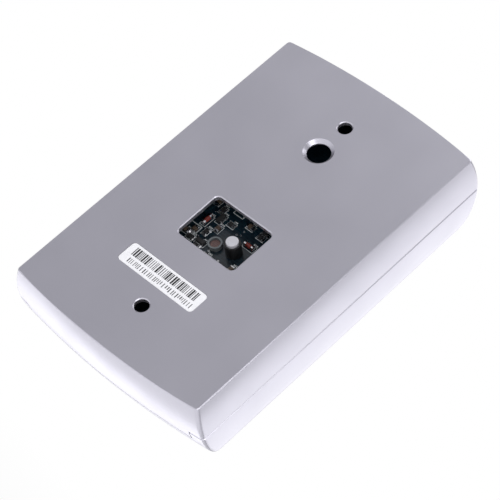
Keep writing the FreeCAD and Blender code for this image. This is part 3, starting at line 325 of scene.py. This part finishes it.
# Plastics: two tones, roughness, and the grain's scale and depth where they aren't the usual ones.
PLASTICS = {
    "label": ((0.92, 0.92, 0.95), (0.95, 0.95, 0.98), 0.35, 1500.0, 0.00001),
    "seal_rubber": ((0.012, 0.012, 0.012), (0.02, 0.02, 0.02), 0.8),
    "black_plastic": ((0.012, 0.012, 0.013), (0.02, 0.02, 0.022), 0.5),
    "chip_plastic": ((0.018, 0.018, 0.019), (0.03, 0.03, 0.031), 0.55),
    "led_plastic": ((0.74, 0.77, 0.80), (0.82, 0.85, 0.88), 0.2),
    "socket_plastic": ((0.70, 0.68, 0.61), (0.76, 0.74, 0.68), 0.45),
    "ferrite": ((0.04, 0.04, 0.045), (0.065, 0.065, 0.07), 0.7),
    "capacitor_ceramic": ((0.085, 0.060, 0.045), (0.13, 0.095, 0.07), 0.45),
    "diode_glass": ((0.20, 0.035, 0.03), (0.30, 0.06, 0.05), 0.15),
    "light_sleeve_plastic": ((0.17, 0.19, 0.20), (0.22, 0.24, 0.25), 0.4),
    "cell_ceramic": ((0.12, 0.08, 0.08), (0.17, 0.115, 0.11), 0.55),
    "plunger_plastic": ((0.56, 0.56, 0.60), (0.62, 0.62, 0.66), 0.25),
    "relay_plastic": ((0.015, 0.04, 0.18), (0.02, 0.05, 0.22), 0.35),
    "bobbin_plastic": ((0.66, 0.64, 0.57), (0.74, 0.72, 0.65), 0.5),
    "ink": ((0.010, 0.010, 0.012), (0.02, 0.02, 0.022), 0.5),
    "silkscreen": ((0.62, 0.66, 0.66), (0.74, 0.77, 0.77), 0.6),
    "cell_track": ((0.24, 0.13, 0.11), (0.30, 0.17, 0.14), 0.4),
    "label_grey": ((0.06, 0.06, 0.065), (0.10, 0.10, 0.105), 0.45),
    "track": ((0.008, 0.030, 0.045), (0.011, 0.040, 0.058), 0.25, 900.0, 0.00001),
}

# Metals: two tones, roughness, and the grain's stretch and scale where they aren't the usual ones.
METALS = {
    "steel": ((0.55, 0.55, 0.54), (0.63, 0.62, 0.60), 0.28),
    "capacitor_can": ((0.62, 0.62, 0.64), (0.70, 0.70, 0.72), 0.22, (1.0, 6.0, 1.0)),
    "copper": ((0.60, 0.26, 0.11), (0.70, 0.34, 0.16), 0.3, EVEN, 3000.0),
    "solder": ((0.74, 0.74, 0.76), (0.84, 0.84, 0.85), 0.22),
}

# Glasses: colour, roughness and the share of light let through.
GLASSES = {
    "optical_glass": ((0.80, 0.88, 0.90), 0.0, 1.0),
    "smoked_lens": ((0.06, 0.04, 0.05), 0.02, 0.75),
}


def housing_metal():
    """Satin silver paint over a zinc casting: fine orange peel and metal flake."""
    material, tree, shader = new_material("housing_metal")
    paint = colour_between(tree, add_noise(tree, *PAINT_DRIFT), shader, *PAINT_TONES)
    # painted shade: seams, creases and the roots of openings darkened by ambient occlusion in the
    # paint colour
    paint_crease_shade(tree, paint, shader)
    shader.inputs["Metallic"].default_value = PAINT_METALLIC
    roughness_between(tree, add_noise(tree, *PAINT_GLOSS), shader, *PAINT_ROUGHNESS)
    peel = bump_from(tree, add_noise(tree, *PEEL_NOISE), shader, *PEEL_BUMP)
    bump_from(tree, add_noise(tree, *FLAKE_NOISE), shader, *FLAKE_BUMP, peel)
    return material


def plain_plastic(name, first, second, roughness, grain=PLASTIC_GRAIN, depth=PLASTIC_DEPTH):
    """Moulded plastic with a fine grain and a slight drift of tone."""
    material, tree, shader = new_material(name)
    colour_between(tree, add_noise(tree, *PLASTIC_DRIFT), shader, first, second)
    gloss = add_noise(tree, *PLASTIC_GLOSS)
    roughness_between(tree, gloss, shader, roughness - PLASTIC_SPREAD,
                      roughness + PLASTIC_SPREAD)
    bump_from(tree, add_noise(tree, grain, PLASTIC_GRAIN_DETAIL), shader, PLASTIC_STRENGTH, depth)
    return material


def plain_metal(name, first, second, roughness, stretch=EVEN, scale=METAL_GRAIN):
    """Bare or plated metal with a drawn or tumbled grain."""
    material, tree, shader = new_material(name)
    shader.inputs["Metallic"].default_value = 1.0
    grain = add_noise(tree, scale, METAL_GRAIN_DETAIL, stretch)
    colour_between(tree, add_noise(tree, *METAL_DRIFT), shader, first, second)
    roughness_between(tree, grain, shader, roughness - METAL_SPREAD[0],
                      roughness + METAL_SPREAD[1])
    bump_from(tree, grain, shader, *METAL_BUMP)
    return material


def circuit_board():
    """Dark blue-green solder mask with a grid of slightly lighter lines."""
    material, tree, shader = new_material("circuit_board")
    cells = tree.nodes.new("ShaderNodeTexBrick")
    cells.inputs["Scale"].default_value = MASK_CELLS
    cells.inputs["Color1"].default_value = MASK_TONES[0]
    cells.inputs["Color2"].default_value = MASK_TONES[1]
    cells.inputs["Mortar"].default_value = MASK_LINES
    cells.inputs["Mortar Size"].default_value = MASK_LINE_SIZE
    mapping = tree.nodes.new("ShaderNodeMapping")
    mapping.inputs["Rotation"].default_value = (math.radians(90), 0, 0)
    place = tree.nodes.new("ShaderNodeTexCoord")
    tree.links.new(place.outputs["Object"], mapping.inputs["Vector"])
    tree.links.new(mapping.outputs["Vector"], cells.inputs["Vector"])
    tree.links.new(cells.outputs["Color"], shader.inputs["Base Color"])
    shader.inputs["Roughness"].default_value = MASK_ROUGHNESS
    shader.inputs["Coat Weight"].default_value = MASK_COAT
    bump_from(tree, cells.outputs["Fac"], shader, *MASK_BUMP)
    return material


def glass(name, colour, roughness, transmission):
    material, tree, shader = new_material(name)
    drift = add_noise(tree, *GLASS_NOISE)
    darker = tuple(GLASS_DARKER * part for part in colour)
    colour_between(tree, drift, shader, darker, colour)
    roughness_between(tree, drift, shader, roughness, roughness + GLASS_SMEAR)
    shader.inputs["IOR"].default_value = GLASS_IOR
    shader.inputs["Transmission Weight"].default_value = transmission
    return material


def ribbon_film():
    """Flat cable: printed conductors as fine lengthwise stripes under a clear film."""
    material, tree, shader = new_material("ribbon_film")
    wave = tree.nodes.new("ShaderNodeTexWave")
    wave.bands_direction = "X"
    wave.inputs["Scale"].default_value = FILM_STRIPES
    wave.inputs["Distortion"].default_value = 0.0
    tree.links.new(place_of(tree), wave.inputs["Vector"])
    colour_between(tree, wave.outputs["Fac"], shader, *FILM_TONES, *FILM_EDGES)
    shader.inputs["Roughness"].default_value = FILM_ROUGHNESS
    bump_from(tree, wave.outputs["Fac"], shader, *FILM_BUMP)
    return material


def make_materials():
    made = {
        "housing_metal": housing_metal(),
        "circuit_board": circuit_board(),
        "ribbon_film": ribbon_film(),
    }
    for name, look in GLASSES.items():
        made[name] = glass(name, *look)
    for name, look in PLASTICS.items():
        made[name] = plain_plastic(name, *look)
    for name, look in METALS.items():
        made[name] = plain_metal(name, *look)
    return made


def dress_nodes():
    for part in frame["record"]["subparts"]:
        for slot in nodes[part["node"]].material_slots:
            slot.material = materials[part["material_slot"]]


# ---- Mesh helpers -------------------------------------------------------------------------------
CORNER_STEPS = 6                   # in each corner of a rounded rectangle
LATHE_SIDES = 24
WELD_GRID = 1e6                    # steps in a metre, in which equal vertices are one


class Builder:
    """Collects closed pieces of mesh, in millimetres as (x, depth, z), into one object."""

    def __init__(self):
        self.points = []
        self.faces = []

    def prism(self, near, far):
        """Closed solid between two outlines of the same number of points."""
        base = len(self.points)
        count = len(near)
        self.points += near + far
        self.faces.append(tuple(range(base, base + count)))
        self.faces.append(tuple(range(base + 2 * count - 1, base + count - 1, -1)))
        for index in range(count):
            after = (index + 1) % count
            self.faces.append((base + index, base + count + index,
                               base + count + after, base + after))

    def plate(self, outline, depth0, depth1, draft=0.0):
        """Flat piece of an (x, z) outline, whose face at depth0 is smaller by the share draft."""
        cx = sum(point[0] for point in outline) / len(outline)
        cz = sum(point[1] for point in outline) / len(outline)
        keep = 1.0 - draft
        near = [(cx + (x - cx) * keep, depth0, cz + (z - cz) * keep) for x, z in outline]
        self.prism(near, [(x, depth1, z) for x, z in outline])

    def lathe(self, profile, centre, along, sides=LATHE_SIDES):
        """Closed ring of (radius, distance) points turned about an axis through centre."""
        base = len(self.points)
        across = Vector((0, 1, 0)) if abs(along.y) < 0.5 else Vector((1, 0, 0))
        first = along.cross(across).normalized()
        second = along.cross(first)
        for radius, distance in profile:
            for step in range(sides):
                angle = 2.0 * math.pi * step / sides
                spoke = first * math.cos(angle) + second * math.sin(angle)
                self.points.append(tuple(centre + along * distance + spoke * radius))
        rings = len(profile)
        for ring in range(rings):
            following = (ring + 1) % rings
            for step in range(sides):
                after = (step + 1) % sides
                self.faces.append((base + ring * sides + step, base + ring * sides + after,
                                   base + following * sides + after,
                                   base + following * sides + step))

    def done(self, name, body, material):
        mesh = bpy.data.meshes.new(name)
        points = [(x * MM, -depth * MM, z * MM) for x, depth, z in self.points]
        mesh.from_pydata(points, [], self.faces)
        work = bmesh.new()
        work.from_mesh(mesh)
        bmesh.ops.recalc_face_normals(work, faces=work.faces)
        work.to_mesh(mesh)
        work.free()
        mesh.materials.append(material)
        piece = bpy.data.objects.new(name, mesh)
        scene.collection.objects.link(piece)
        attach(piece, body)
        return piece


def rectangle(x0, x1, z0, z1):
    return [(x0, z0), (x1, z0), (x1, z1), (x0, z1)]


def rounded(x0, x1, z0, z1, corner):
    outline = []
    for cx, cz, start in ((x1 - corner, z0 + corner, -90), (x1 - corner, z1 - corner, 0),
                          (x0 + corner, z1 - corner, 90), (x0 + corner, z0 + corner, 180)):
        for step in range(CORNER_STEPS + 1):
            angle = math.radians(start + 90.0 * step / CORNER_STEPS)
            outline.append((cx + corner * math.cos(angle), cz + corner * math.sin(angle)))
    return outline


def box_mm(node):
    """x0, x1, depth0, depth1, z0 and z1 of a CAD node, in millimetres."""
    low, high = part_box(node)
    return [value / MM for value in (low.x, high.x, -high.y, -low.y, low.z, high.z)]


def islands_mm(node):
    """The same six numbers for each separate solid in a CAD node."""
    mesh = nodes[node].data
    merged = {}
    owner = []
    parent = []
    for vertex in mesh.vertices:
        key = tuple(round(value * WELD_GRID) for value in vertex.co)
        if key not in merged:
            merged[key] = len(parent)
            parent.append(len(parent))
        owner.append(merged[key])

    def root(index):
        while parent[index] != index:
            parent[index] = parent[parent[index]]
            index = parent[index]
        return index

    for polygon in mesh.polygons:
        first = root(owner[polygon.vertices[0]])
        for vertex in polygon.vertices[1:]:
            parent[root(owner[vertex])] = first
    groups = {}
    for index, vertex in enumerate(mesh.vertices):
        groups.setdefault(root(owner[index]), []).append(vertex.co)
    boxes = []
    for points in groups.values():
        xs = [point.x / MM for point in points]
        depths = [-point.y / MM for point in points]
        zs = [point.z / MM for point in points]
        boxes.append((min(xs), max(xs), min(depths), max(depths), min(zs), max(zs)))
    return sorted(boxes)


# ---- Label --------------------------------------------------------------------------------------
LABEL_SINK = 0.03                  # of the label's face below the back
PRINT_SINK = 0.018                 # of the print's face below the back
LABEL_CORNER = 1.15
LABEL_DRAFT = 0.002
BAR_MARGINS = (2.2, 1.8)           # at the left and right ends of the row
BAR_FOOT = 3.3                     # above the label's lower edge
BAR_HEAD = 0.8                     # below the label's upper edge
BAR_WIDTHS = (0.20, 0.20, 0.28, 0.38, 0.56)
BAR_GAPS = (0.22, 0.28, 0.48)
STROKE_MARGINS = (1.5, 2.4)
STROKE_FEET = (0.85, 0.85, 1.3)    # above the label's lower edge
STROKE_HEAD = 2.45                 # above the label's lower edge
STROKE_WIDTHS = (0.20, 0.26, 0.34)
STROKE_GAPS = (0.36, 0.44, 0.72)


def make_label():
    """White sticker in its pocket, printed with plain bars and one row of short strokes."""
    x0, x1, depth0, depth1, z0, z1 = box_mm("serial_label")
    face = depth0 + LABEL_SINK
    print_face = depth0 + PRINT_SINK
    sheet = Builder()
    sheet.plate(rounded(x0, x1, z0, z1, LABEL_CORNER), face, depth1, LABEL_DRAFT)
    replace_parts(sheet.done("label_sheet", "terminal", materials["label"]), "serial_label")
    bars = Builder()
    x = x0 + BAR_MARGINS[0]
    while x < x1 - BAR_MARGINS[1]:
        width = rng.choice(BAR_WIDTHS)
        bars.plate(rectangle(x, x + width, z0 + BAR_FOOT, z1 - BAR_HEAD), print_face, face)
        x += width + rng.choice(BAR_GAPS)
    bars.done("label_bars", "terminal", materials["ink"])
    strokes = Builder()
    x = x0 + STROKE_MARGINS[0]
    while x < x1 - STROKE_MARGINS[1]:
        width = rng.choice(STROKE_WIDTHS)
        low = z0 + rng.choice(STROKE_FEET)
        strokes.plate(rectangle(x, x + width, low, z0 + STROKE_HEAD), print_face, face)
        x += width + rng.choice(STROKE_GAPS)
    strokes.done("label_dashes", "terminal", materials["label_grey"])


# ---- Wall side of the main board ----------------------------------------------------------------
MARK_HEIGHT = 0.02
MARK_WIDTH = 0.16
MARK_MARGIN = 0.42                 # of an outline around its part
TICK_COUNT = 3
TICK_PITCH = 0.5
TICK_WIDTH = 0.32
TICK_FOOT = 0.62                   # above the part
TICK_HEAD = 1.12
SPARE_WIDTH = 0.22
# x0, x1, z0 and z1 of the outlines that stand apart from the small parts
SPARE_OUTLINES = ((11.2, 15.4, -13.2, -7.0), (-4.6, -1.4, 3.6, 7.0), (4.6, 8.4, 2.2, 5.4),
                  (9.8, 13.2, 4.4, 7.2), (-9.4, -6.6, -12.0, -7.0))
TRACK_HEIGHT = 0.012
TRACK_RUN = (1.2, 3.4)             # range of the straight length from the part
TRACK_SLANT = (0.8, 2.2)           # range of the length after the turn
TRACK_HALF_WIDTHS = (0.09, 0.12, 0.2)
VIA_PROFILE = ((0.14, 0.0), (0.34, 0.0), (0.31, -0.03), (0.16, -0.03))
VIA_SIDES = 16
SMALL_PARTS = ("smd_capacitors", "smd_resistors", "smd_transistors", "smd_diodes")


def frame_outline(builder, x0, x1, z0, z1, depth, width=MARK_WIDTH):
    """Four strips around a rectangle, on the wall side of the board."""
    near = depth - MARK_HEIGHT
    builder.plate(rectangle(x0, x1, z0, z0 + width), near, depth)
    builder.plate(rectangle(x0, x1, z1 - width, z1), near, depth)
    builder.plate(rectangle(x0, x0 + width, z0 + width, z1 - width), near, depth)
    builder.plate(rectangle(x1 - width, x1, z0 + width, z1 - width), near, depth)


def make_silkscreen(depth):
    """Pale outlines round the small parts, with short ticks above each, and a few spare ones."""
    marks = Builder()
    for node in SMALL_PARTS:
        for x0, x1, _, _, z0, z1 in islands_mm(node):
            frame_outline(marks, x0 - MARK_MARGIN, x1 + MARK_MARGIN,
                          z0 - MARK_MARGIN, z1 + MARK_MARGIN, depth)
            for step in range(TICK_COUNT):
                x = x0 + TICK_PITCH * step
                marks.plate(rectangle(x, x + TICK_WIDTH, z1 + TICK_FOOT, z1 + TICK_HEAD),
                            depth - MARK_HEIGHT, depth)
    for outline in SPARE_OUTLINES:
        frame_outline(marks, *outline, depth, SPARE_WIDTH)
    marks.done("board_silkscreen", "terminal", materials["silkscreen"])


def make_tracks(depth):
    """Raised tracks that leave the small parts and turn at 45 degrees, with vias at their ends."""
    tracks = Builder()
    vias = Builder()
    near = depth - TRACK_HEIGHT
    for node in SMALL_PARTS:
        for x0, x1, _, _, z0, z1 in islands_mm(node):
            upright = z1 - z0 > x1 - x0
            for side in (-1, 1):
                run = rng.uniform(*TRACK_RUN)
                slant = rng.uniform(*TRACK_SLANT)
                lean = rng.choice((-1, 1))
                half = rng.choice(TRACK_HALF_WIDTHS)
                if upright:
                    start = Vector(((x0 + x1) / 2.0, z1 if side > 0 else z0))
                    ahead = Vector((0, side))
                else:
                    start = Vector((x1 if side > 0 else x0, (z0 + z1) / 2.0))
                    ahead = Vector((side, 0))
                sideways = Vector((-ahead.y, ahead.x)) * lean
                bend = start + ahead * run
                end = bend + (ahead + sideways).normalized() * slant
                for first, second in ((start, bend), (bend, end)):
                    along = (second - first).normalized()
                    normal = Vector((-along.y, along.x)) * half
                    tracks.plate([tuple(first - normal), tuple(second - normal),
                                  tuple(second + normal), tuple(first + normal)], near, depth)
                vias.lathe(VIA_PROFILE, Vector((end.x, depth, end.y)), Vector((0, 1, 0)),
                           VIA_SIDES)
    tracks.done("board_tracks", "terminal", materials["track"])
    vias.done("board_vias", "terminal", materials["solder"])


# ---- Ends and legs of the small parts -----------------------------------------------------------
CHIP_REACH = 0.42                  # of the solder beyond a chip's end
CHIP_COVER = 0.4                   # of the plating over a chip's end
PLATE_SKIN = 0.02                  # of the plating above the face and past the end
PLATE_OVERHANG = 0.03              # of the plating past each side
SOLDER_KNEE = (0.30, 0.45)         # share of the reach and of the height where the slope steepens
SOLDER_TOP = (0.03, 0.85)          # distance from the end, and share of the height
LEG_REACH = 0.75
LEG_COVER = 0.05
LEG_INSET = 0.55                   # of the paired legs from the transistor's corners
LEG_HALF_WIDTH = 0.17
LEG_DROP = 0.35                    # of a leg below the transistor's face
CAP_LENGTH = 0.8                   # of a diode's cap along the glass
CAP_END = 0.03                     # of the cap past the end of the glass
CAP_SKIN = 0.015                   # of the cap over the glass
CAP_ROUND = (0.1, 0.07)            # of its outer edge, across and along
CAP_LIP = 0.05                     # of its inner edge
LATHE_BORE = 0.01                  # radius of the ring that a turned cap closes on


def lies_upright(x0, x1, z0, z1):
    return z1 - z0 > x1 - x0


def end_cap(builder, face, inward, sides, depths, upright, reach=CHIP_REACH, cover=CHIP_COVER):
    """Plated end of a chip and its solder, which slopes down to the board."""
    depth0, depth1 = depths
    top = depth0 - PLATE_SKIN
    rise = depth1 - top
    profile = [(face - inward * reach, depth1),
               (face - inward * SOLDER_KNEE[0] * reach, depth1 - SOLDER_KNEE[1] * rise),
               (face - inward * SOLDER_TOP[0], depth1 - SOLDER_TOP[1] * rise),
               (face - inward * PLATE_SKIN, top),
               (face + inward * cover, top),
               (face + inward * cover, depth1)]
    outlines = []
    for across in (sides[0] - PLATE_OVERHANG, sides[1] + PLATE_OVERHANG):
        outlines.append([(across, depth, place) if upright else (place, depth, across)
                         for place, depth in profile])
    builder.prism(*outlines)


def make_chip_ends(node, name):
    ends = Builder()
    for x0, x1, depth0, depth1, z0, z1 in islands_mm(node):
        upright = lies_upright(x0, x1, z0, z1)
        low, high, sides = (z0, z1, (x0, x1)) if upright else (x0, x1, (z0, z1))
        end_cap(ends, low, 1, sides, (depth0, depth1), upright)
        end_cap(ends, high, -1, sides, (depth0, depth1), upright)
    ends.done(name, "terminal", materials["solder"])


def make_transistor_legs():
    """Two bent legs on one long side and one on the other."""
    legs = Builder()
    for x0, x1, depth0, depth1, z0, z1 in islands_mm("smd_transistors"):
        upright = lies_upright(x0, x1, z0, z1)
        low, high = (z0, z1) if upright else (x0, x1)
        near, far = (x0, x1) if upright else (z0, z1)
        pair = (low + LEG_INSET, high - LEG_INSET)
        for face, inward, places in ((near, 1, pair), (far, -1, ((low + high) / 2.0,))):
            for place in places:
                end_cap(legs, face, inward, (place - LEG_HALF_WIDTH, place + LEG_HALF_WIDTH),
                        (depth0 + LEG_DROP, depth1), not upright, LEG_REACH, LEG_COVER)
    legs.done("transistor_legs", "terminal", materials["solder"])


def make_diode_caps():
    """Metal caps on the ends of the glass diodes."""
    caps = Builder()
    for x0, x1, depth0, depth1, z0, z1 in islands_mm("smd_diodes"):
        upright = lies_upright(x0, x1, z0, z1)
        radius = (depth1 - depth0) / 2.0
        axis = Vector((0, 0, 1)) if upright else Vector((1, 0, 0))
        middle = Vector(((x0 + x1) / 2.0, (depth0 + depth1) / 2.0, (z0 + z1) / 2.0))
        half = (z1 - z0 if upright else x1 - x0) / 2.0
        profile = [(LATHE_BORE, half + CAP_END),
                   (radius - CAP_ROUND[0], half + CAP_END),
                   (radius + CAP_SKIN, half - CAP_ROUND[1]),
                   (radius + CAP_SKIN, half - CAP_LENGTH + CAP_LIP),
                   (radius - CAP_LIP, half - CAP_LENGTH),
                   (LATHE_BORE, half - CAP_LENGTH)]
        for side in (-1, 1):
            caps.lathe(profile, middle, axis * side)
    caps.done("diode_caps", "terminal", materials["solder"])


# ---- Light cell ---------------------------------------------------------------------------------
CELL_MARGIN = 0.2                  # of the track from the cell's rim
CELL_ROWS = 5
CELL_ROW_SPREAD = 0.8              # share of the height that the rows take
CELL_ROW_FILL = 0.9                # share of the width that a row takes
CELL_TRACK_WIDTH = 0.14
CELL_TRACK_HEIGHT = 0.03


def make_cell_track():
    """The winding track on the face of the light cell."""
    x0, x1, depth0, _, z0, z1 = box_mm("light_cell")
    cx = (x0 + x1) / 2.0
    cz = (z0 + z1) / 2.0
    radius = (x1 - x0) / 2.0 - CELL_MARGIN
    track = Builder()
    near = depth0 - CELL_TRACK_HEIGHT
    edge = CELL_TRACK_WIDTH / 2.0
    pitch = 2.0 * radius * CELL_ROW_SPREAD / (CELL_ROWS - 1)
    spans = []
    for row in range(CELL_ROWS):
        z = -radius * CELL_ROW_SPREAD + row * pitch
        spans.append((math.sqrt(radius ** 2 - z ** 2) * CELL_ROW_FILL, z))
    for row, (half, z) in enumerate(spans):
        track.plate(rectangle(cx - half, cx + half, cz + z - edge, cz + z + edge), near, depth0)
        if row + 1 < CELL_ROWS:
            side = 1 if row % 2 == 0 else -1
            reach = min(half, spans[row + 1][0]) * side
            left, right = sorted((cx + reach, cx + reach - CELL_TRACK_WIDTH * side))
            track.plate(rectangle(left, right, cz + z + edge, cz + z + pitch - edge),
                        near, depth0)
    track.done("light_cell_track", "terminal", materials["cell_track"])


# ---- Return spring of the tamper plunger --------------------------------------------------------
SPRING_TURNS = 3.5
SPRING_WIRE = 0.3
SPRING_STEPS = 28                  # sections in each turn
SPRING_SIDES = 10


def make_tamper_spring():
    """Coil spring of the tamper plunger, built at the length of the CAD spring; on the device it
    shortens as the plunger goes in.
    """
    x0, x1, depth0, depth1, z0, z1 = box_mm("tamper_spring")
    middle = Vector(((x0 + x1) / 2.0, 0.0, (z0 + z1) / 2.0))
    wire = SPRING_WIRE / 2.0
    coil = (x1 - x0) / 2.0 - wire
    first = depth0 + wire
    rise = depth1 - depth0 - SPRING_WIRE
    count = int(SPRING_TURNS * SPRING_STEPS)
    line = []
    for step in range(count + 1):
        angle = 2.0 * math.pi * SPRING_TURNS * step / count
        line.append(middle + Vector((coil * math.cos(angle), first + rise * step / count,
                                     coil * math.sin(angle))))
    spring = Builder()
    for index, point in enumerate(line):
        along = (line[min(index + 1, count)] - line[max(index - 1, 0)]).normalized()
        outward = (point - middle - Vector((0, point.y, 0))).normalized()
        across = along.cross(outward).normalized()
        for side in range(SPRING_SIDES):
            angle = 2.0 * math.pi * side / SPRING_SIDES
            spoke = outward * math.cos(angle) + across * math.sin(angle)
            spring.points.append(tuple(point + spoke * wire))
    for index in range(count):
        for side in range(SPRING_SIDES):
            after = (side + 1) % SPRING_SIDES
            base = index * SPRING_SIDES
            spring.faces.append((base + side, base + after, base + SPRING_SIDES + after,
                                 base + SPRING_SIDES + side))
    spring.faces.append(tuple(range(SPRING_SIDES)))
    spring.faces.append(tuple(range(count * SPRING_SIDES, (count + 1) * SPRING_SIDES)))
    piece = spring.done("plunger_spring", "terminal", materials["steel"])
    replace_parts(piece, "tamper_spring")
    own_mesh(piece)


def make_board_details():
    depth = box_mm("main_board")[2]
    make_silkscreen(depth)
    make_tracks(depth)
    make_chip_ends("smd_capacitors", "capacitor_ends")
    make_chip_ends("smd_resistors", "resistor_ends")
    make_transistor_legs()
    make_diode_caps()
    make_cell_track()


materials = make_materials()
make_camera()
make_floor()
make_world()
make_softboxes()
set_tones()
dress_nodes()
make_label()
make_board_details()
make_tamper_spring()
